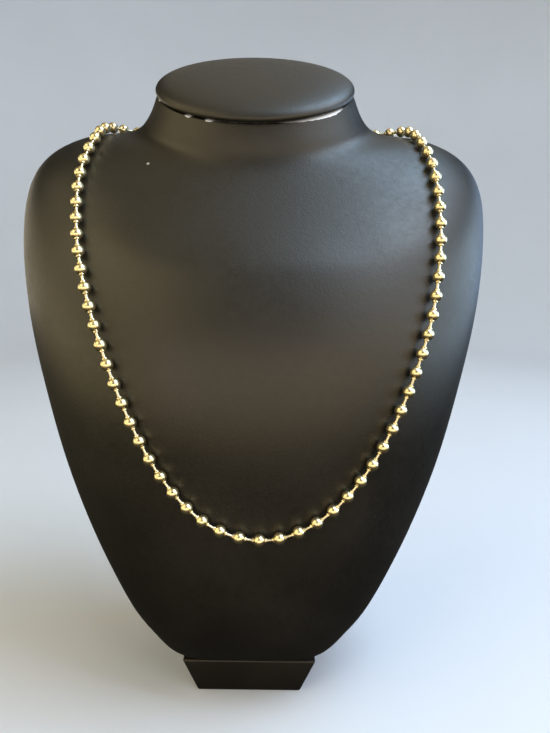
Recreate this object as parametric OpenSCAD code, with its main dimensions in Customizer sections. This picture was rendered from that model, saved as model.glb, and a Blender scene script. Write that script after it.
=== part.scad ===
// Bead station necklace on a neck bust
// Round hollow beads joined by short bars hang round a covered display bust.
// Millimetres. The origin is the middle of the foot's resting face, +Z is up and the chest faces -Y.

/* [Chain] */
// Number of beads round the whole loop, the two in the clasp included
bead_count = 78; // [76:1:80]
// Outer diameter of a bead
bead_d = 4.8; // [4.6:0.1:4.8]
// Thickness of the bead's wall
bead_wall = 0.35; // [0.3:0.05:0.4]
// Diameter of the hole at each end of a bead
hole_d = 1.6; // [1.55:0.05:1.65]
// Diameter of the short lip round each hole
lip_d = 2.1; // [2.05:0.05:2.2]
// How far the lip reaches from the middle of the bead
lip_reach = 2.75; // [2.65:0.05:2.8]
// Diameter of a bar between two beads
bar_d = 1.1; // [1:0.05:1.1]
// Diameter of the flat head that holds a bar inside a bead
head_d = 2.2; // [2:0.1:2.4]
// Thickness of that head
head_t = 0.4; // [0.3:0.1:0.5]
// Room between the chain and the bust where it lies on it
chain_gap = 0.15; // [0.1:0.05:0.3]

/* [Clasp] */
// Outer diameter of the clasp sleeve at the back of the neck
clasp_d = 6.2; // [6.1:0.1:6.4]
// Diameter of the room inside the sleeve
clasp_room_d = 5.1; // [5.05:0.05:5.2]

/* [Bust] */
// Width of the bust over its shoulders
shoulder_w = 209; // [204:1:214]
// Steps of the bust's skin between two rows of the section table
rings_per_section = 4; // [2:1:5]
// Points round the bust's skin
skin_points = 72; // [48:4:80]

/* [Cap] */
// Width of the oval cap on the neck
cap_w = 88; // [87:0.5:90]
// Depth of the oval cap, measured along its own slope
cap_depth = 63; // [62:0.5:65]
// Height of the cap's crown over its rim
cap_crown = 2.6; // [1:0.2:5]
// Seam between the neck and the cap
cap_gap = 0.3; // [0.2:0.1:0.6]
// Points round the cap
cap_points = 60; // [48:4:72]

/* [Foot] */
// Width of the foot where it meets the bust
foot_top_w = 61; // [58:1:62]
// Width of the foot where it stands
foot_base_w = 47; // [44:1:58]
// Depth of the foot from front to back
foot_depth = 64; // [60:1:64]
// Height of the foot
foot_h = 15.8; // [14:0.1:15.8]

/* [Hidden] */

// The width over the shoulders that the section table is written for
table_w = 209;
side_scale = shoulder_w / table_w;

// One row for each section of the bust, from the foot to the top of the neck.
// A section is an oval loop. Its widest points lie at height and side_y. Its front dips by drop
// and its back climbs by rise, as a power, bend, of the way out from the widest points.
// The roundness of each half is the power of its oval: 2 is an ellipse and 6 almost a box.
// height, side_y, half_w, front, back, drop, rise, bend, front_round, back_round
SECTIONS = [
    [16, 0, 30.5, 32, 32, 0, 0, 1, 6, 6],
    [26, -4, 46, 39, 38, 0, 0, 1, 3, 4],
    [42, -5, 59, 45, 42, 0, 0, 1, 2.4, 3.5],
    [72, -3, 74, 50, 43, 0, 0, 1, 2.2, 3.2],
    [105, 0, 86, 55, 43, 0, 0, 1, 2.1, 3],
    [138, 3, 94, 59, 42, 0, 0, 1, 2.1, 3],
    [172, 8, 101, 59, 40, 4, -1, 1.5, 2.1, 3],
    [202, 14, 104.5, 55, 37, 10, -4, 2, 2.1, 3],
    [226, 22, 104, 50, 31, 16, -8, 2, 2.1, 2.8],
    [241, 28, 96, 47, 26, 20, -8, 2, 2.1, 2.3],
    [250, 33, 80, 46, 21, 21, -4, 2, 2.1, 2],
    [253, 31, 58, 42, 23, 18.5, 1, 1.8, 2.1, 2],
    [257.5, 22, 49, 32.5, 27, 16.5, 7, 1.4, 2.1, 2.1],
    [267.5, 15.5, 43, 25, 24, 18.5, 17.76, 1, 2.1, 2.1],
];
last_section = len(SECTIONS) - 1;

// Where the chain crosses the bust, from the lowest bead up over a shoulder to the back of the neck.
// section counts rows of the table above, and angle turns from the chest to the back.
// lean shifts both halves of the loop to one side, in degrees, and lift holds it off for the clasp.
// section, angle, lean, lift
CHAIN_RUN = [
    [3.55, 0, 3.6, 0],
    [3.75, 13.5, 4, 0],
    [4.25, 24, 4.4, 0],
    [5, 31.5, 4.6, 0],
    [6, 37.3, 4.2, 0],
    [7, 40.8, 3, 0],
    [8, 43.5, 2.2, 0],
    [8.8, 47.3, 2, 0],
    [9.45, 53, 2.2, 0],
    [10, 61.5, 2.6, 0],
    [10.3, 72, 2.6, 0.05],
    [10.6, 91, 1.5, 0.1],
    [10.75, 108, 0, 0],
    [10.8, 130, 0, 0.2],
    [10.8, 154, 0, 0.7],
    [10.8, 180, 0, 1],
];
last_run = len(CHAIN_RUN) - 1;
samples_per_run = 10;
// How far the lowest bead lies from the bottom of the loop, in steps from bead to bead
start_shift = -0.15;
// The clasp holds this bead and the next one
clasp_bead = floor(bead_count / 2) - 1;

bead_r = bead_d / 2;
room_r = bead_r - bead_wall;
hole_r = hole_d / 2;
lip_r = lip_d / 2;
bar_r = bar_d / 2;
head_r = head_d / 2;
// A bar tilts in the middle of a hole, this far from the middle of the bead
tilt_at = (sqrt(room_r * room_r - hole_r * hole_r) + lip_reach) / 2;
// The inner face of a head lies this far from the middle of its bead
head_from = 0.5;
// How far a bar runs on inside a bead, from where it tilts
bar_inside = tilt_at - head_from;
clasp_r = clasp_d / 2;
clasp_room_r = clasp_room_d / 2;
clasp_hole_r = 1.15;
// The sleeve reaches this far past the middles of its two beads
clasp_end = 3.6;
clasp_bevel = 0.7;
clasp_lip = 0.6;
// Length over which the sleeve's room narrows to the hole at each end
clasp_taper = 1;
round_steps = 24;

function unit(v) = v / norm(v);
function sign_of(x) = x < 0 ? -1 : 1;

// The smooth curve through b and c, with their neighbours a and d
function spline(a, b, c, d, t) =
    (2 * b + (c - a) * t + (2 * a - 5 * b + 4 * c - d) * t * t + (3 * b - a - 3 * c + d) * t * t * t) / 2;

// A row of the section table, carried on in a straight line past its ends
function section_row(k) =
    k < 0 ? 2 * SECTIONS[0] - SECTIONS[1]
    : k > last_section ? 2 * SECTIONS[last_section] - SECTIONS[last_section - 1]
    : SECTIONS[k];

function section_at(u) =
    let(k = max(0, min(floor(u), last_section - 1)))
    spline(section_row(k - 1), section_row(k), section_row(k + 1), section_row(k + 2), u - k);

// The point on a section at an angle from the middle of the chest, turning towards +X
function skin_on(section, angle) =
    let(
        in_front = cos(angle) >= 0,
        power = 2 / (in_front ? section[8] : section[9]),
        across = sign_of(sin(angle)) * pow(abs(sin(angle)), power),
        out = pow(abs(cos(angle)), power),
        climb = pow(out, section[7])
    )
    [
        side_scale * section[2] * across,
        section[1] + out * (in_front ? -section[3] : section[4]),
        section[0] + climb * (in_front ? -section[5] : section[6]),
    ];

function skin(u, angle) = skin_on(section_at(u), angle);

function skin_normal(u, angle) =
    let(
        section_step = 0.01,
        angle_step = 0.5,
        up = skin(u + section_step, angle) - skin(u - section_step, angle),
        about = skin(u, angle + angle_step) - skin(u, angle - angle_step)
    )
    unit(cross(about, up));

// A row of the chain's run, mirrored past the lowest bead and past the back of the neck
function run_row(k) =
    k < 0 ? [CHAIN_RUN[1][0], -CHAIN_RUN[1][1], CHAIN_RUN[1][2], CHAIN_RUN[1][3]]
    : k > last_run ? let(r = CHAIN_RUN[last_run - 1]) [r[0], 360 - r[1], r[2], r[3]]
    : CHAIN_RUN[k];

function run_at(t) =
    let(k = min(floor(t), last_run - 1))
    spline(run_row(k - 1), run_row(k), run_row(k + 1), run_row(k + 2), t - k);

// The chain's middle line. t is 0 at the lowest bead and last_run at the back, negative on the -X side.
function chain_point(t) =
    let(
        run = run_at(abs(t)),
        angle = sign_of(t) * run[1] + run[2],
        off = bead_r + chain_gap + run[3]
    )
    skin(run[0], angle) + off * skin_normal(run[0], angle);

sample_count = 2 * last_run * samples_per_run;
LINE = [for (i = [0:sample_count]) chain_point(i / samples_per_run - last_run)];
// The way along the line to each of its points
WAY = [for (i = 0, s = 0; i <= sample_count; s = s + norm(LINE[min(i + 1, sample_count)] - LINE[i]), i = i + 1) s];
loop_length = WAY[sample_count];
pitch = loop_length / bead_count;
X_ALONG = [for (i = [0:sample_count]) [WAY[i], LINE[i][0]]];
Y_ALONG = [for (i = [0:sample_count]) [WAY[i], LINE[i][1]]];
Z_ALONG = [for (i = [0:sample_count]) [WAY[i], LINE[i][2]]];

function line_at(way) =
    let(s = (way % loop_length + loop_length) % loop_length)
    [lookup(s, X_ALONG), lookup(s, Y_ALONG), lookup(s, Z_ALONG)];

// The middle of bead i, counted from the lowest bead towards +X
function bead_at(i) = line_at(WAY[sample_count / 2] + (i + start_shift) * pitch);

function bead_axis(i) = unit(bead_at(i + 1) - bead_at(i - 1));

// Where a bar tilts in bead i, at its hole towards the next bead (side 1) or the last one (side -1)
function bead_hole(i, side) = bead_at(i) + side * tilt_at * bead_axis(i);

// Turns a child's +Z axis along a direction and moves it to a place
module aim(place, direction) {
    d = unit(direction);
    translate(place) rotate([0, acos(d[2]), atan2(d[1], d[0])]) children();
}

// Faces between loops of n points each, with both ends closed on a middle point
function loop_faces(n, loops) = concat(
    [for (k = [0:loops - 2], i = [0:n - 1]) [k * n + i, (k + 1) * n + i, (k + 1) * n + (i + 1) % n]],
    [for (k = [0:loops - 2], i = [0:n - 1]) [k * n + i, (k + 1) * n + (i + 1) % n, k * n + (i + 1) % n]],
    [for (i = [0:n - 1]) [i, (i + 1) % n, n * loops]],
    [for (i = [0:n - 1]) [(loops - 1) * n + (i + 1) % n, (loops - 1) * n + i, n * loops + 1]]
);

// The torso and neck as one closed form with a flat foot end and a slanted neck end
module bust_form() {
    ring_count = last_section * rings_per_section + 1;
    rings = [
        for (k = [0:ring_count - 1], i = [0:skin_points - 1])
            skin(k / rings_per_section, i * 360 / skin_points)
    ];
    foot_middle = (skin(0, 0) + skin(0, 180)) / 2;
    color("#1d1c1b")
        polyhedron(concat(rings, [foot_middle, neck_middle]), loop_faces(skin_points, ring_count));
}

neck_front = skin(last_section, 0);
neck_back = skin(last_section, 180);
neck_middle = (neck_front + neck_back) / 2;
neck_slope = atan2(neck_back[2] - neck_front[2], neck_back[1] - neck_front[1]);

// The cap's rounded rim and dome, from the seam up to the crown
// inset from the cap's outline, height over the seam, share of the crown
CAP_PROFILE = [
    [1.4, 0, 0],
    [0.4, 0.4, 0],
    [0, 1.3, 0],
    [0.3, 2.3, 0],
    [1.2, 3.2, 0],
    [2.8, 3.4, 0.24],
    [5, 3.4, 0.47],
    [8.5, 3.4, 0.68],
    [14, 3.4, 0.86],
    [22, 3.4, 0.97],
];
cap_rim_h = CAP_PROFILE[len(CAP_PROFILE) - 1][1];

// The oval cap that closes the neck, rounded at its rim and slightly domed
module neck_cap() {
    loops = [
        for (row = CAP_PROFILE, i = [0:cap_points - 1])
            let(a = i * 360 / cap_points)
            [
                (cap_w / 2 - row[0]) * sin(a),
                -(cap_depth / 2 - row[0]) * cos(a),
                row[1] + row[2] * cap_crown,
            ]
    ];
    crown = [0, 0, cap_rim_h + cap_crown];
    color("#232220")
        translate(neck_middle)
            rotate([neck_slope, 0, 0])
                translate([0, 0, cap_gap])
                    polyhedron(
                        concat(loops, [[0, 0, 0], crown]),
                        loop_faces(cap_points, len(CAP_PROFILE))
                    );
}

// The block that the bust stands on, narrower at its base
module foot_block() {
    color("#1a1918")
        translate([0, foot_depth / 2, 0])
            rotate([90, 0, 0])
                linear_extrude(foot_depth)
                    polygon([
                        [-foot_base_w / 2, 0],
                        [foot_base_w / 2, 0],
                        [foot_top_w / 2, foot_h],
                        [-foot_top_w / 2, foot_h],
                    ]);
}

// A hollow bead with a short lip round the hole at each end
module bead() {
    difference() {
        union() {
            sphere(bead_r, $fn = round_steps);
            cylinder(h = 2 * lip_reach, r = lip_r, center = true, $fn = round_steps);
        }
        sphere(room_r, $fn = round_steps);
        cylinder(h = 4 * bead_r, r = hole_r, center = true, $fn = round_steps);
    }
}

module chain_beads() {
    color("#d9b65a")
        for (i = [0:bead_count - 1])
            aim(bead_at(i), bead_axis(i))
                bead();
}

// A bar between two holes, span apart, whose flat heads lie inside the beads
module bar(span) {
    union() {
        translate([0, 0, -bar_inside])
            cylinder(h = span + 2 * bar_inside, r = bar_r, $fn = round_steps);
        for (head_end = [-bar_inside, span + bar_inside - head_t])
            translate([0, 0, head_end])
                cylinder(h = head_t, r = head_r, $fn = round_steps);
    }
}

module chain_bars() {
    color("#c9a44c")
        for (i = [0:bead_count - 1])
            if (i != clasp_bead) {
                from = bead_hole(i, 1);
                to = bead_hole(i + 1, -1);
                aim(from, to - from)
                    bar(norm(to - from));
            }
}

// A plain sleeve round the last bead of each end, out of sight behind the neck
module clasp_sleeve() {
    from = bead_at(clasp_bead);
    to = bead_at(clasp_bead + 1);
    half = norm(to - from) / 2 + clasp_end;
    room_end = half - clasp_lip;
    color("#c9a44c")
        aim((from + to) / 2, to - from)
            rotate_extrude($fn = round_steps)
                polygon([
                    [clasp_hole_r, -half],
                    [clasp_r - clasp_bevel, -half],
                    [clasp_r, -half + clasp_bevel],
                    [clasp_r, half - clasp_bevel],
                    [clasp_r - clasp_bevel, half],
                    [clasp_hole_r, half],
                    [clasp_hole_r, room_end],
                    [clasp_room_r, room_end - clasp_taper],
                    [clasp_room_r, clasp_taper - room_end],
                    [clasp_hole_r, -room_end],
                ]);
}

bust_form();
neck_cap();
foot_block();
chain_beads();
chain_bars();
clasp_sleeve();
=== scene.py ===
from math import acos, cos, degrees, pi, radians, sin, sqrt

import bmesh
import bpy
from mathutils import Matrix, Vector, noise


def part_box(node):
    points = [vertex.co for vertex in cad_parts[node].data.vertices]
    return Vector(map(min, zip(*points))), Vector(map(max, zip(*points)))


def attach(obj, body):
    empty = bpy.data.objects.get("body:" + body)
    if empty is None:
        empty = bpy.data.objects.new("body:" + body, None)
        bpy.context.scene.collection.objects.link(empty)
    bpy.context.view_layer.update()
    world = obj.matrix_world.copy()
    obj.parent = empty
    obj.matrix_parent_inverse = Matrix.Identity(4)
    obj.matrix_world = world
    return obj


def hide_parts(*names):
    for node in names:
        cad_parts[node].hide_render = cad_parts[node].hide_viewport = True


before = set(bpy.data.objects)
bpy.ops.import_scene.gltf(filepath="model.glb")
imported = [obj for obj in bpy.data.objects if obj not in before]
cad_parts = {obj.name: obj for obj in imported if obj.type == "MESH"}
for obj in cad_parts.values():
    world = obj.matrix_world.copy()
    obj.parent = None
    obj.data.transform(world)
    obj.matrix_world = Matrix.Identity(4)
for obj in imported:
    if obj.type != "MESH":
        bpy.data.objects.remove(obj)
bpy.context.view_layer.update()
mm = 0.001
mergeReach = 0.002 * mm          # points nearer than this are one point
poleEdges = 30                   # only the middle of a fan of triangles has more edges than this
print("frame loaded")


def copyOfNode(nodeName):
    shape = bmesh.new()
    shape.from_mesh(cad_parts[nodeName].data)
    bmesh.ops.remove_doubles(shape, verts=shape.verts, dist=mergeReach)
    return shape


def makePiece(name, shape, material, nodeName):
    mesh = bpy.data.meshes.new(name)
    shape.to_mesh(mesh)
    shape.free()
    mesh.shade_smooth()
    mesh.materials.append(material)
    piece = bpy.data.objects.new(name, mesh)
    bpy.context.scene.collection.objects.link(piece)
    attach(piece, "root")
    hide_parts(nodeName)
    return piece


def subdivide(piece, levels):
    smoothing = piece.modifiers.new("smoothing", "SUBSURF")
    smoothing.levels = levels
    smoothing.render_levels = levels


# an outline of (radius, height) points turned round the Z axis, closed unless its ends lie on the axis
def turned(outline, steps, closed=True):
    shape = bmesh.new()
    rim = [shape.verts.new((radius, 0, height)) for radius, height in outline]
    onward = rim[1:] + rim[:1] if closed else rim[1:]
    edges = [shape.edges.new(pair) for pair in zip(rim, onward)]
    bmesh.ops.spin(
        shape, geom=rim + edges, cent=(0, 0, 0), axis=(0, 0, 1), dvec=(0, 0, 0),
        angle=2 * pi, steps=steps, use_merge=True, use_duplicate=False)
    bmesh.ops.remove_doubles(shape, verts=shape.verts, dist=mergeReach)
    bmesh.ops.recalc_face_normals(shape, faces=shape.faces)
    return shape


def arc(middle, radius, fromAngle, toAngle, count):
    points = []
    for k in range(count):
        angle = radians(fromAngle + (toAngle - fromAngle) * k / (count - 1))
        points.append((middle[0] + radius * cos(angle), middle[1] + radius * sin(angle)))
    return points


# a turned shape set down at many places, its Z axis along each direction
def setDown(shape, places):
    pattern = bpy.data.meshes.new("pattern")
    shape.to_mesh(pattern)
    shape.free()
    joined = bmesh.new()
    for middle, direction in places:
        before = len(joined.verts)
        joined.from_mesh(pattern)
        joined.verts.ensure_lookup_table()
        turn = direction.to_track_quat("Z", "Y").to_matrix().to_4x4()
        bmesh.ops.transform(joined, matrix=Matrix.Translation(middle) @ turn, verts=joined.verts[before:])
    bpy.data.meshes.remove(pattern)
    return joined


class NodeSheet:
    def __init__(self, name):
        self.material = bpy.data.materials.new(name)
        self.material.use_nodes = True
        self.tree = self.material.node_tree
        self.shader = self.tree.nodes["Principled BSDF"]
        self.place = self.add("ShaderNodeTexCoord").outputs["Object"]

    def add(self, kind, settings=None, **inputs):
        node = self.tree.nodes.new(kind)
        for key, value in (settings or {}).items():
            setattr(node, key, value)
        for key, value in inputs.items():
            self.feed(node.inputs[key.replace("_", " ")], value)
        return node

    def feed(self, socket, value):
        if isinstance(value, bpy.types.NodeSocket):
            self.tree.links.new(value, socket)
        else:
            socket.default_value = value

    def noise(self, scale, detail=3, roughness=0.5, distortion=0):
        node = self.add(
            "ShaderNodeTexNoise", Vector=self.place, Scale=scale, Detail=detail,
            Roughness=roughness, Distortion=distortion)
        return node.outputs["Fac"]

    def ramp(self, factor, stops):
        node = self.add("ShaderNodeValToRGB", Fac=factor)
        elements = node.color_ramp.elements
        elements.remove(elements[1])
        for k, (position, colour) in enumerate(stops):
            element = elements.new(position) if k else elements[0]
            element.position = position
            element.color = (*colour, 1)
        return node.outputs["Color"]

    def math(self, operation, first, second):
        node = self.add("ShaderNodeMath", {"operation": operation})
        for socket, value in zip(node.inputs, (first, second)):
            self.feed(socket, value)
        return node.outputs["Value"]

    def spread(self, value, low, high, newLow, newHigh):
        node = self.add(
            "ShaderNodeMapRange", {"clamp": True}, Value=value, From_Min=low, From_Max=high,
            To_Min=newLow, To_Max=newHigh)
        return node.outputs["Result"]

    def mix(self, factor, first, second):
        node = self.add("ShaderNodeMix", {"data_type": "RGBA"})
        for name, kind, value in (("Factor", "VALUE", factor), ("A", "RGBA", first), ("B", "RGBA", second)):
            self.feed([s for s in node.inputs if (s.name, s.type) == (name, kind)][0], value)
        return [s for s in node.outputs if s.type == "RGBA"][0]

    # 1 near a spot, falling softly to 0 at a radius from it
    def spot(self, middle, radius):
        node = self.add("ShaderNodeVectorMath", {"operation": "DISTANCE"})
        self.feed(node.inputs[0], self.place)
        self.feed(node.inputs[1], middle)
        return self.spread(node.outputs["Value"], 0.7 * radius, radius, 1, 0)

    def bump(self, height, distance, strength, normal=None):
        node = self.add("ShaderNodeBump", Height=height, Distance=distance, Strength=strength)
        if normal is not None:
            self.feed(node.inputs["Normal"], normal)
        return node.outputs["Normal"]


leatherLook = {
    "cloudScale": 24,            # the slow changes of colour and gloss
    "pebbleScale": 1000,         # pebbles per metre
    "pebbleDepth": 0.05 * mm,
    "pebbleStrength": 0.6,
    "wrinkleScale": 420,
    "wrinkleDepth": 0.05 * mm,
    "wrinkleStrength": 0.5,
    "dark": (0.0026, 0.0023, 0.0017),
    "light": (0.0050, 0.0045, 0.0034),
    "grainDark": (0.0036, 0.0033, 0.0028, 1),
    "coverShows": 0.72,          # how much of the cover's colour is left between two pebbles
    "specularTint": (1.0, 0.93, 0.80, 1),
    "specularLevel": 0.7,
    "coatWeight": 0.06,
    "coatRoughness": 0.3,
    "gloss": (0.42, 0.50),       # roughness where it is rubbed and where it isn't
    "wrinkleGloss": (-0.03, 0.05),
}


def leatherette(name, tone=1.0, extra=None):
    look = leatherLook
    sheet = NodeSheet(name)
    cloudy = sheet.noise(look["cloudScale"], detail=4)
    fine = sheet.noise(look["wrinkleScale"], detail=5, roughness=0.6, distortion=0.4)
    pebbles = sheet.add(
        "ShaderNodeTexVoronoi", {"feature": "SMOOTH_F1"}, Vector=sheet.place,
        Scale=look["pebbleScale"], Smoothness=0.6).outputs["Distance"]
    colour = sheet.ramp(cloudy, [
        (0.3, tuple(tone * part for part in look["dark"])),
        (0.7, tuple(tone * part for part in look["light"]))])
    coverShows = sheet.spread(pebbles, 0.25, 0.8, 1.0, look["coverShows"])
    colour = sheet.mix(coverShows, look["grainDark"], colour)
    gloss = sheet.spread(cloudy, 0.35, 0.65, *look["gloss"])
    gloss = sheet.math("ADD", gloss, sheet.spread(fine, 0.3, 0.7, *look["wrinkleGloss"]))
    wrinkles = sheet.bump(fine, look["wrinkleDepth"], look["wrinkleStrength"])
    grain = sheet.bump(
        sheet.math("SUBTRACT", 1.0, pebbles), look["pebbleDepth"], look["pebbleStrength"], wrinkles)
    sheet.shader.inputs["Specular IOR Level"].default_value = look["specularLevel"]
    sheet.shader.inputs["Specular Tint"].default_value = look["specularTint"]
    sheet.shader.inputs["Coat Weight"].default_value = look["coatWeight"]
    sheet.shader.inputs["Coat Roughness"].default_value = look["coatRoughness"]
    if extra:
        colour, gloss = extra(sheet, colour, gloss)
    sheet.feed(sheet.shader.inputs["Base Color"], colour)
    sheet.feed(sheet.shader.inputs["Roughness"], gloss)
    sheet.feed(sheet.shader.inputs["Normal"], grain)
    return sheet.material


bust = {
    "ringStep": 3 * mm,          # from one ring of points to the next, along the surface
    "seamWidth": 0.9 * mm,
    "weltShare": 0.4,            # how far from its line the welt stands up, in seam widths
    "seamRise": 0.32 * mm,
    "seamGroove": 0.12 * mm,
    "rimRound": 0.5 * mm,
    "unevenness": 0.2 * mm,      # soft dents of the cover over its core
    "unevenScale": 26,
    "fadeFromEnds": 14 * mm,
    "smoothing": 2,
}
# where the hollow between neck and chest is evened: the start and the length of each rise of its weight
hollow = {
    "forward": (8 * mm, 14 * mm),
    "upward": (195 * mm, 18 * mm),
    "inward": (-50 * mm, 14 * mm),
    "fromRim": (6 * mm, 10 * mm),
    "turns": 60,
    "pull": 0.5,                 # how far a point goes to the middle of its neighbours in a turn
}
neckTop = {
    "middle": Vector((0, 15 * mm, 267.13 * mm)),
    "slope": radians(36.5),
    "widthOverDepth": 1.42,
    "rawBand": 0.85 * mm,        # how far the white core shows below the edge
    "rawStart": -0.6,            # in bands from the edge, here on the flat above it
    "leastReach": 0.05,          # a reach smaller than this shows no core
    "rawRoughness": 0.8,
    "raggedScale": 700,
    "ragged": (0.75, 1.15),      # how the reach varies along the edge
    "thinCore": (0.03, 0.03, 0.025, 1),
    "core": (0.80, 0.81, 0.81, 1),
}
# how much of the raw band shows, by the turn from the left end of the rim to its right end
rawShows = [
    (0.0, 0), (0.076, 0), (0.082, 0.6), (0.1, 0.6), (0.108, 0), (0.268, 0), (0.278, 0.62),
    (0.292, 0.62), (0.3, 0), (0.346, 0), (0.354, 0.6), (0.37, 0.55), (0.38, 0.1), (0.41, 0.1),
    (0.58, 0.1), (0.63, 0.3), (0.69, 0.62), (0.76, 0.95), (0.81, 0.8), (0.85, 0)]
spots = {
    "fleckPlace": (-43.8 * mm, -7.3 * mm, 233.5 * mm),
    "fleckRadius": 0.75 * mm,
    "fleckTone": (0.30, 0.28, 0.22, 1),
    # painted shade: a dark spot where a small dent in the cover lies in shade
    "dentShadePlace": (60.2 * mm, -1.0 * mm, 237.7 * mm),
    "dentShadeRadius": 1.3 * mm,
    "dentShadeTone": (0.002, 0.002, 0.002, 1),
}


# the white core that shows where the cover was cut short at the neck's rim, a pale fleck and the painted
# shade of a small dent
def bustMarks(sheet, colour, gloss):
    local = sheet.add(
        "ShaderNodeMapping", {"vector_type": "TEXTURE"}, Vector=sheet.place,
        Location=neckTop["middle"], Rotation=(neckTop["slope"], 0, 0)).outputs["Vector"]
    parts = sheet.add("ShaderNodeSeparateXYZ", Vector=local).outputs
    forward = sheet.math("MULTIPLY", parts["Y"], -neckTop["widthOverDepth"])
    around = sheet.math("ARCTAN2", parts["X"], forward)
    turn = sheet.spread(around, -pi / 2, pi / 2, 0, 1)
    shows = sheet.ramp(turn, [(place, (part, part, part)) for place, part in rawShows])
    ragged = sheet.spread(sheet.noise(neckTop["raggedScale"]), 0.35, 0.65, *neckTop["ragged"])
    reach = sheet.math("MULTIPLY", shows, ragged)
    depth = sheet.math("DIVIDE", parts["Z"], -neckTop["rawBand"])
    raw = sheet.math("GREATER_THAN", reach, sheet.math("MAXIMUM", depth, neckTop["leastReach"]))
    raw = sheet.math("MULTIPLY", raw, sheet.math("GREATER_THAN", depth, neckTop["rawStart"]))
    white = sheet.mix(shows, neckTop["thinCore"], neckTop["core"])
    colour = sheet.mix(raw, colour, white)
    gloss = sheet.math("MAXIMUM", gloss, sheet.math("MULTIPLY", raw, neckTop["rawRoughness"]))
    # a pale fleck, then a dark spot of painted shade for a small dent
    for mark in ("fleck", "dentShade"):
        shown = sheet.spot(spots[mark + "Place"], spots[mark + "Radius"])
        colour = sheet.mix(shown, colour, spots[mark + "Tone"])
    return colour, gloss


# joins the triangles between two rings of points back into quads and numbers the rings from below
def asQuads(shape):
    poles = [point for point in shape.verts if len(point.link_edges) > poleEdges]
    bmesh.ops.dissolve_verts(shape, verts=[min(poles, key=lambda point: point.co.z)])
    lowerEnd = max(shape.faces, key=lambda face: len(face.verts))
    ring = {point: 0 for point in lowerEnd.verts}
    reached = list(ring)
    for point in reached:
        for edge in point.link_edges:
            beyond = edge.other_vert(point)
            if beyond not in ring:
                ring[beyond] = ring[point] + 1
                reached.append(beyond)
    diagonals = [
        corner.edge for face in shape.faces for corner in face.loops
        if ring[corner.vert] < ring[corner.link_loop_next.vert] == ring[corner.link_loop_prev.vert]]
    bmesh.ops.dissolve_edges(shape, edges=diagonals, use_verts=False)
    return ring


# the edges that run on from a rim's point, straight across each ring
def edgesAlong(start):
    row = []
    edge = max(start.link_edges, key=lambda e: e.other_vert(start).co.z)
    point = edge.other_vert(start)
    while len(point.link_edges) < poleEdges:
        row.append(edge)
        edge = [e for e in point.link_edges if not set(e.link_faces) & set(edge.link_faces)][0]
        point = edge.other_vert(point)
    return row


def roundOff(shape, edges, width, segments=2):
    return bmesh.ops.bevel(
        shape, geom=edges, offset=width, offset_type="OFFSET", affect="EDGES",
        segments=segments, profile=0.5, material=-1, clamp_overlap=True)


# 0 up to the start, rising evenly to 1 over the length
def rise(value, start, length):
    return max(0, min(1, (value - start) / length))


# evens out the front of the hollow between neck and chest, clear of the chain and the rim
def evenHollow(shape, fromRim):
    weights = {}
    for point in shape.verts:
        place = point.co
        weight = rise(-place.y, *hollow["forward"]) * rise(place.z, *hollow["upward"])
        weight *= rise(-abs(place.x), *hollow["inward"]) * rise(fromRim(point), *hollow["fromRim"])
        if weight > 0:
            weights[point] = weight
    for turn in range(hollow["turns"]):
        moved = {}
        for point, weight in weights.items():
            around = [edge.other_vert(point).co for edge in point.link_edges]
            moved[point] = point.co.lerp(sum(around, Vector()) / len(around), hollow["pull"] * weight)
        for point, place in moved.items():
            point.co = place


def buildBust():
    shape = copyOfNode("bust_form")
    ring = asQuads(shape)
    topRing = max(ring.values()) - 1
    evenHollow(shape, lambda point: (topRing - ring[point]) * bust["ringStep"])
    shape.normal_update()
    low = min(point.co.z for point in shape.verts)
    for point in shape.verts:
        fromEnds = min(point.co.z - low, abs(ring[point] - topRing) * bust["ringStep"])
        fade = min(1, fromEnds / bust["fadeFromEnds"])
        dent = noise.noise(point.co * bust["unevenScale"])
        point.co += point.normal * dent * fade * bust["unevenness"]
    firstRing = [point for point in shape.verts if ring[point] == 0]
    seams = []
    for side in (-1, 1):
        seams += edgesAlong(max(firstRing, key=lambda point: side * point.co.x - abs(point.co.y)))
    line = [point.co.copy() for edge in seams for point in edge.verts]
    bmesh.ops.dissolve_verts(shape, verts=[max(shape.verts, key=lambda point: len(point.link_edges))])
    welt = roundOff(shape, seams, bust["seamWidth"])
    shape.normal_update()
    for point in welt["verts"]:
        nearest = min((point.co - place).length for place in line)
        lift = bust["seamRise"] if nearest < bust["weltShare"] * bust["seamWidth"] else -bust["seamGroove"]
        point.co += point.normal * lift
    ends = sorted(shape.faces, key=lambda face: len(face.verts))[-2:]
    roundOff(shape, [edge for face in ends for edge in face.edges], bust["rimRound"])
    print("bust rings", topRing + 1, "faces", len(shape.faces))
    return shape


bustCover = makePiece(
    "bustCover", buildBust(), leatherette("bustLeatherette", extra=bustMarks), "bust_form")
subdivide(bustCover, bust["smoothing"])
print("bust cover made")


cap = {
    "smoothing": 2,
    # painted light: the cap's leatherette is a little lighter than the bust's cover to stand for the light
    # it catches on top
    "tone": 1.1,                 # against the bust's cover
}


def buildCap():
    shape = copyOfNode("neck_cap")
    asQuads(shape)
    return shape


capCover = makePiece(
    "capCover", buildCap(), leatherette("capLitLeatherette", tone=cap["tone"]), "neck_cap")
subdivide(capCover, cap["smoothing"])
print("neck cap made")


foot = {
    "baseWidth": 47 * mm,
    "edgeRound": 0.9 * mm,
    "edgeSegments": 4,
    "sharpFrom": radians(40),
    # painted shade: the foot's leatherette is a little darker than the bust's cover to stand for the shade
    # low down
    "tone": 0.9,
}


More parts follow.
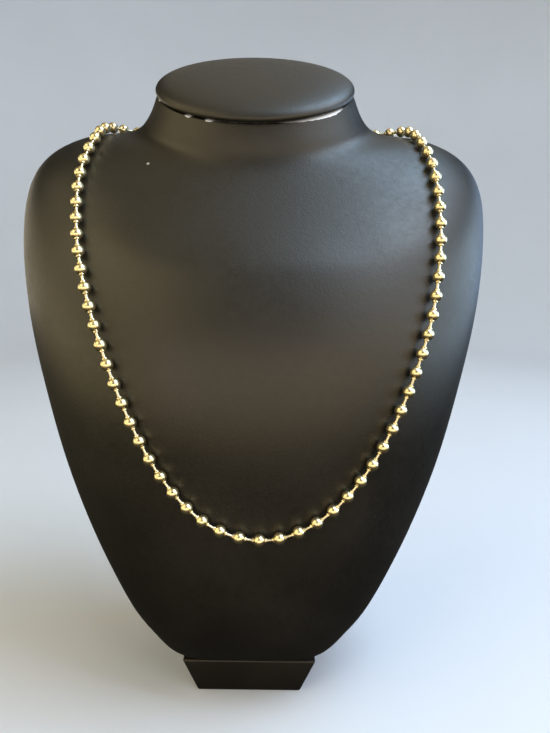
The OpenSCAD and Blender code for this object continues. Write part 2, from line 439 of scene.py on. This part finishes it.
def buildFoot():
    low, high = (Vector(corner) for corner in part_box("foot_block"))
    size = high - low
    shape = bmesh.new()
    bmesh.ops.create_cube(shape, size=1)
    bmesh.ops.scale(shape, vec=size, verts=shape.verts)
    bmesh.ops.translate(shape, vec=(low + high) / 2, verts=shape.verts)
    base = [point for point in shape.verts if point.co.z < (low.z + high.z) / 2]
    bmesh.ops.scale(shape, vec=(foot["baseWidth"] / size.x, 1, 1), verts=base)
    roundOff(shape, list(shape.edges), foot["edgeRound"], foot["edgeSegments"])
    return shape


footCover = makePiece(
    "footCover", buildFoot(), leatherette("footShadedLeatherette", tone=foot["tone"]), "foot_block")
footCover.data.set_sharp_from_angle(angle=foot["sharpFrom"])
print("foot made")


goldLook = {
    "bead": (0.96, 0.82, 0.48),
    "bar": (0.96, 0.85, 0.57),
    "deeper": 0.93,              # the darker patches of the colour
    "roughness": (0.25, 0.35),
    "barRougher": 0.08,
    "claspRougher": 0.05,
    "patchScale": 260,
    "scratchScale": 2600,
    "scratchDepth": 0.004 * mm,
    "sharpFrom": radians(50),
}


def gold(name, tint, rougher=0.0):
    sheet = NodeSheet(name)
    low, high = goldLook["roughness"]
    patches = sheet.noise(goldLook["patchScale"], detail=4, roughness=0.6)
    fine = sheet.noise(goldLook["scratchScale"], detail=2)
    sheet.shader.inputs["Metallic"].default_value = 1
    deeper = tuple(goldLook["deeper"] * part for part in tint)
    dullness = sheet.spread(patches, 0.3, 0.7, low + rougher, high + rougher)
    sheet.feed(sheet.shader.inputs["Base Color"], sheet.ramp(patches, [(0.3, deeper), (0.7, tint)]))
    sheet.feed(sheet.shader.inputs["Roughness"], dullness)
    sheet.feed(sheet.shader.inputs["Normal"], sheet.bump(fine, goldLook["scratchDepth"], 0.5))
    return sheet.material


# the middles of a node's loose solids
def solidMiddles(nodeName):
    shape = copyOfNode(nodeName)
    seen = set()
    middles = []
    for start in shape.verts:
        if start in seen:
            continue
        seen.add(start)
        solid = [start]
        for point in solid:
            for edge in point.link_edges:
                beyond = edge.other_vert(point)
                if beyond not in seen:
                    seen.add(beyond)
                    solid.append(beyond)
        low = Vector(min(point.co[k] for point in solid) for k in range(3))
        high = Vector(max(point.co[k] for point in solid) for k in range(3))
        middles.append((low + high) / 2)
    shape.free()
    return middles


def roundTheLoop(middles):
    left = sorted(middles, key=lambda middle: middle.z)
    ordered = [left.pop(0)]
    while left:
        nearest = min(left, key=lambda middle: (middle - ordered[-1]).length)
        ordered.append(nearest)
        left.remove(nearest)
    return ordered


beads = roundTheLoop(solidMiddles("chain_beads"))
print("beads found", len(beads))

bead = {
    "radius": 2.4 * mm,
    "room": 2.05 * mm,
    "hole": 0.8 * mm,
    "lipRadius": 1.05 * mm,
    "lipReach": 2.75 * mm,
    "steps": 24,
    "ballPoints": 13,
    "roomPoints": 5,
    "lipPoints": 6,
}
# a bar tilts in the middle of a hole, this far from the middle of the bead
tiltAt = (sqrt(bead["room"] ** 2 - bead["hole"] ** 2) + bead["lipReach"]) / 2


def beadOutline():
    ballEnd = degrees(acos(bead["lipRadius"] / bead["radius"]))
    roomEnd = degrees(acos(bead["hole"] / bead["room"]))
    lipRound = (bead["lipRadius"] - bead["hole"]) / 2
    lipMiddle = (bead["hole"] + lipRound, bead["lipReach"] - lipRound)
    upperLip = arc(lipMiddle, lipRound, 0, 180, bead["lipPoints"])
    lowerLip = [(radius, -height) for radius, height in reversed(upperLip)]
    return (
        arc((0, 0), bead["radius"], -ballEnd, ballEnd, bead["ballPoints"]) + upperLip
        + arc((0, 0), bead["room"], roomEnd, -roomEnd, bead["roomPoints"]) + lowerLip)


def beadAxis(k):
    return (beads[(k + 1) % len(beads)] - beads[k - 1]).normalized()


beadPlaces = [(middle, beadAxis(k)) for k, middle in enumerate(beads)]
goldBeads = makePiece(
    "goldBeads", setDown(turned(beadOutline(), bead["steps"]), beadPlaces),
    gold("beadGold", goldLook["bead"]), "chain_beads")
goldBeads.data.set_sharp_from_angle(angle=goldLook["sharpFrom"])
print("beads made")


bar = {
    "radius": 0.55 * mm,
    "head": 1.1 * mm,
    "headFrom": 0.5 * mm,        # from the middle of the bead
    "headThick": 0.4 * mm,
    "neckRound": 0.15 * mm,
    "neckPoints": 3,
    "steps": 16,
}


# the outline of a bar with its two heads, for a span between two holes
def barOutline(span):
    inner = bar["headFrom"] - tiltAt - span / 2
    outer = inner + bar["headThick"]
    neckMiddle = (bar["radius"] + bar["neckRound"], outer + bar["neckRound"])
    neck = arc(neckMiddle, bar["neckRound"], 270, 180, bar["neckPoints"])
    half = [(0, inner), (bar["head"], inner), (bar["head"], outer)] + neck
    return half + [(radius, -height) for radius, height in reversed(half)]


# every step of the loop but the one inside the clasp
def barPlaces(claspMiddle):
    places = []
    for k, middle in enumerate(beads):
        onward = (k + 1) % len(beads)
        start = middle + tiltAt * beadAxis(k)
        end = beads[onward] - tiltAt * beadAxis(onward)
        if ((start + end) / 2 - claspMiddle).length > bead["radius"]:
            places.append(((start + end) / 2, end - start))
    return places


claspLow, claspHigh = (Vector(corner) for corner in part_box("clasp_sleeve"))
claspMiddle = (claspLow + claspHigh) / 2
spans = barPlaces(claspMiddle)
meanSpan = sum(direction.length for middle, direction in spans) / len(spans)
goldBars = makePiece(
    "goldBars", setDown(turned(barOutline(meanSpan), bar["steps"], closed=False), spans),
    gold("barGold", goldLook["bar"], goldLook["barRougher"]), "chain_bars")
goldBars.data.set_sharp_from_angle(angle=goldLook["sharpFrom"])
print("bars made", len(spans))


clasp = {
    "radius": 3.1 * mm,
    "room": 2.55 * mm,
    "hole": 1.15 * mm,
    "pastBeads": 3.6 * mm,
    "endRound": 0.7 * mm,
    "endWall": 0.6 * mm,
    "taper": 1.0 * mm,
    "steps": 40,
    "endPoints": 6,
}


def claspOutline(halfLength):
    endMiddle = (clasp["radius"] - clasp["endRound"], halfLength - clasp["endRound"])
    roomEnd = halfLength - clasp["endWall"]
    upper = arc(endMiddle, clasp["endRound"], 0, 90, clasp["endPoints"]) + [
        (clasp["hole"], halfLength), (clasp["hole"], roomEnd), (clasp["room"], roomEnd - clasp["taper"])]
    return upper + [(radius, -height) for radius, height in reversed(upper)]


def claspPlace():
    ends = sorted(beads, key=lambda middle: (middle - claspMiddle).length)[:2]
    return (ends[0] + ends[1]) / 2, ends[1] - ends[0]


middle, direction = claspPlace()
sleeve = turned(claspOutline(direction.length / 2 + clasp["pastBeads"]), clasp["steps"])
goldClasp = makePiece(
    "goldClasp", setDown(sleeve, [(middle, direction)]),
    gold("claspGold", goldLook["bar"], goldLook["claspRougher"]), "clasp_sleeve")
goldClasp.data.set_sharp_from_angle(angle=goldLook["sharpFrom"])
print("clasp made")


studio = {
    "floorRadius": 0.9,
    "bendRadius": 0.6,
    "rimHeight": 1.25,
    "floorSteps": 96,
    "bendPoints": 16,
    "floorTone": (0.86, 0.86, 0.86),
    "floorDarker": 0.97,
    "floorRoughness": 0.75,
    "cloudScale": 5,
    "aim": (0, 0, 0.16),
    "lowBelow": 0.5,             # boxes lower than this light the object alone and not the paper
    "worldTone": (0.95, 0.90, 0.80),
    "worldStrength": 0.04,
}


# warm light from the front and left, cool light from the right: name, place, size, watts, colour
softBoxes = [
    ("front", (-0.10, -1.15, 0.26), (1.6, 0.42), 4.7, (1.0, 0.88, 0.74)),
    ("frontLeftHigh", (-0.75, -0.50, 0.85), (1.0, 0.8), 4.7, (1.0, 0.87, 0.54)),
    ("left", (-1.15, 0.0, 0.30), (1.0, 0.58), 1.6, (1.0, 0.84, 0.54)),
    ("leftLow", (-0.95, -0.40, 0.14), (0.8, 0.26), 1.5, (1.0, 0.90, 0.50)),
    ("frontRight", (0.85, -0.80, 0.28), (0.9, 0.54), 2.3, (1.0, 0.80, 0.52)),
    ("frontRightHigh", (0.75, -0.50, 0.85), (1.0, 0.8), 5.2, (0.85, 0.89, 1.0)),
    ("right", (1.15, 0.05, 0.32), (1.0, 0.62), 7.8, (0.58, 0.78, 1.0)),
    ("backRight", (1.0, 0.70, 0.38), (0.8, 0.66), 2.5, (0.42, 0.62, 1.0)),
    ("rightTop", (0.55, -0.15, 1.10), (0.6, 0.6), 8.4, (0.58, 0.75, 1.0)),
    ("window", (0.42, 0.08, 1.20), (0.4, 0.4), 3.0, (0.34, 0.64, 1.0)),
    ("top", (0.0, 0.0, 1.25), (0.9, 0.9), 1.4, (1.0, 0.76, 0.36)),
    ("back", (0.0, 1.20, 0.32), (1.2, 0.55), 2.4, (0.95, 0.97, 1.0)),
    ("backLeft", (-0.95, 0.75, 0.32), (0.9, 0.55), 1.8, (1.0, 0.90, 0.70)),
    ("backTop", (0.10, 0.65, 1.05), (1.0, 0.6), 0.9, (1.0, 0.92, 0.78)),
]
bounceCard = {
    "place": (0, -0.55, 0.05),
    "aim": (0, -0.30, 1.0),
    "size": (1.3, 0.35),
    "power": 1.2,
    "tone": (1.0, 0.80, 0.46),
}
objectPieces = bpy.data.collections.new("objectPieces")
for piece in (bustCover, capCover, footCover, goldBeads, goldBars, goldClasp):
    objectPieces.objects.link(piece)


def buildFloor():
    bend = studio["bendRadius"]
    flat = studio["floorRadius"]
    sweep = arc((flat, bend), bend, 270, 360, studio["bendPoints"])
    outline = [(0, 0), (flat / 2, 0)] + sweep + [(flat + bend, studio["rimHeight"])]
    shape = turned(outline, studio["floorSteps"], closed=False)
    mesh = bpy.data.meshes.new("studioFloor")
    shape.to_mesh(mesh)
    shape.free()
    mesh.shade_smooth()
    sheet = NodeSheet("palePaper")
    tone = studio["floorTone"]
    darker = tuple(studio["floorDarker"] * part for part in tone)
    clouds = sheet.noise(studio["cloudScale"])
    sheet.feed(sheet.shader.inputs["Base Color"], sheet.ramp(clouds, [(0.3, darker), (0.7, tone)]))
    sheet.shader.inputs["Roughness"].default_value = studio["floorRoughness"]
    mesh.materials.append(sheet.material)
    floor = bpy.data.objects.new("studioFloor", mesh)
    bpy.context.scene.collection.objects.link(floor)
    floor.visible_glossy = False     # the object doesn't mirror the pale paper


def softLight(name, place, size, power, tone, aim=studio["aim"]):
    lamp = bpy.data.lights.new(name, "AREA")
    lamp.shape = "RECTANGLE"
    lamp.size, lamp.size_y = size
    lamp.energy = power
    lamp.color = tone
    light = bpy.data.objects.new(name, lamp)
    light.visible_camera = False
    if place[2] < studio["lowBelow"]:
        light.light_linking.receiver_collection = objectPieces
    towards = Vector(aim) - Vector(place)
    light.matrix_world = Matrix.Translation(place) @ towards.to_track_quat("-Z", "Y").to_matrix().to_4x4()
    bpy.context.scene.collection.objects.link(light)


buildFloor()
for name, place, size, power, tone in softBoxes:
    softLight(name, place, size, power, tone)
softLight("bounceCard", **bounceCard)
world = bpy.data.worlds.new("studio")
world.use_nodes = True
background = world.node_tree.nodes["Background"]
background.inputs["Color"].default_value = (*studio["worldTone"], 1)
background.inputs["Strength"].default_value = studio["worldStrength"]
bpy.context.scene.world = world
print("studio made")


photoView = {
    "place": (10.2 * mm, -249 * mm, 199 * mm),
    "down": radians(12),
    "roll": radians(0.7),
    "sensor": 36,                # millimetres, for the picture's long side
    "pictureSize": (550, 733),
    "clipStart": 0.01,
}
cameraData = bpy.data.cameras.new("photoCamera")
width, height = photoView["pictureSize"]
cameraData.lens = photoView["sensor"] * width / height
cameraData.sensor_width = photoView["sensor"]
cameraData.clip_start = photoView["clipStart"]
camera = bpy.data.objects.new("photoCamera", cameraData)
camera.matrix_world = (
    Matrix.Translation(photoView["place"])
    @ Matrix.Rotation(pi / 2 - photoView["down"], 4, "X")
    @ Matrix.Rotation(photoView["roll"], 4, "Z"))
bpy.context.scene.collection.objects.link(camera)
bpy.context.scene.camera = camera
bpy.context.scene.view_settings.view_transform = "Standard"
print("camera placed")
